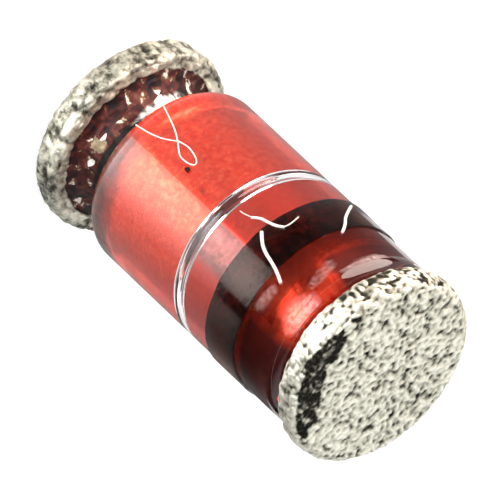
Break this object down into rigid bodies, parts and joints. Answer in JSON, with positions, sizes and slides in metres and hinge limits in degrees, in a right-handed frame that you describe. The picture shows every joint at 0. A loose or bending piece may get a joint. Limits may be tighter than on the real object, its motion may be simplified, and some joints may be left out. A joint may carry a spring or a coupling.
{
  "type": "zener diode",
  "caption": "Surface-mount zener diode: a clear glass sleeve fused over red plugs with tinned end discs, a black cathode band and a chip between the plugs.",
  "frame": {"origin": "centre of the anode end face, on which the diode stands", "axes": "+Z along the diode's axis from the anode end to the cathode end; X and Y across it"},
  "size_m": [0.0024, 0.0024, 0.0051],
  "materials": {
    "clear_glass": "fire-polished clear glass",
    "oxidised_plug": "copper-clad plug with a glossy red oxide skin, brown where it is bare at the anode neck",
    "rough_tin": "matte lumpy tin",
    "silicon": "sawn and polished silicon",
    "silver": "plated silver",
    "band_paint": "glossy black paint"
  },
  "bodies": {
    "root": {"glass_sleeve": "clear_glass", "anode_plug": "oxidised_plug", "cathode_plug": "oxidised_plug", "anode_tin_coat": "rough_tin", "cathode_tin_coat": "rough_tin", "zener_chip": "silicon", "contact_bump": "silver", "cathode_band": "band_paint"}
  },
  "joints": []
}
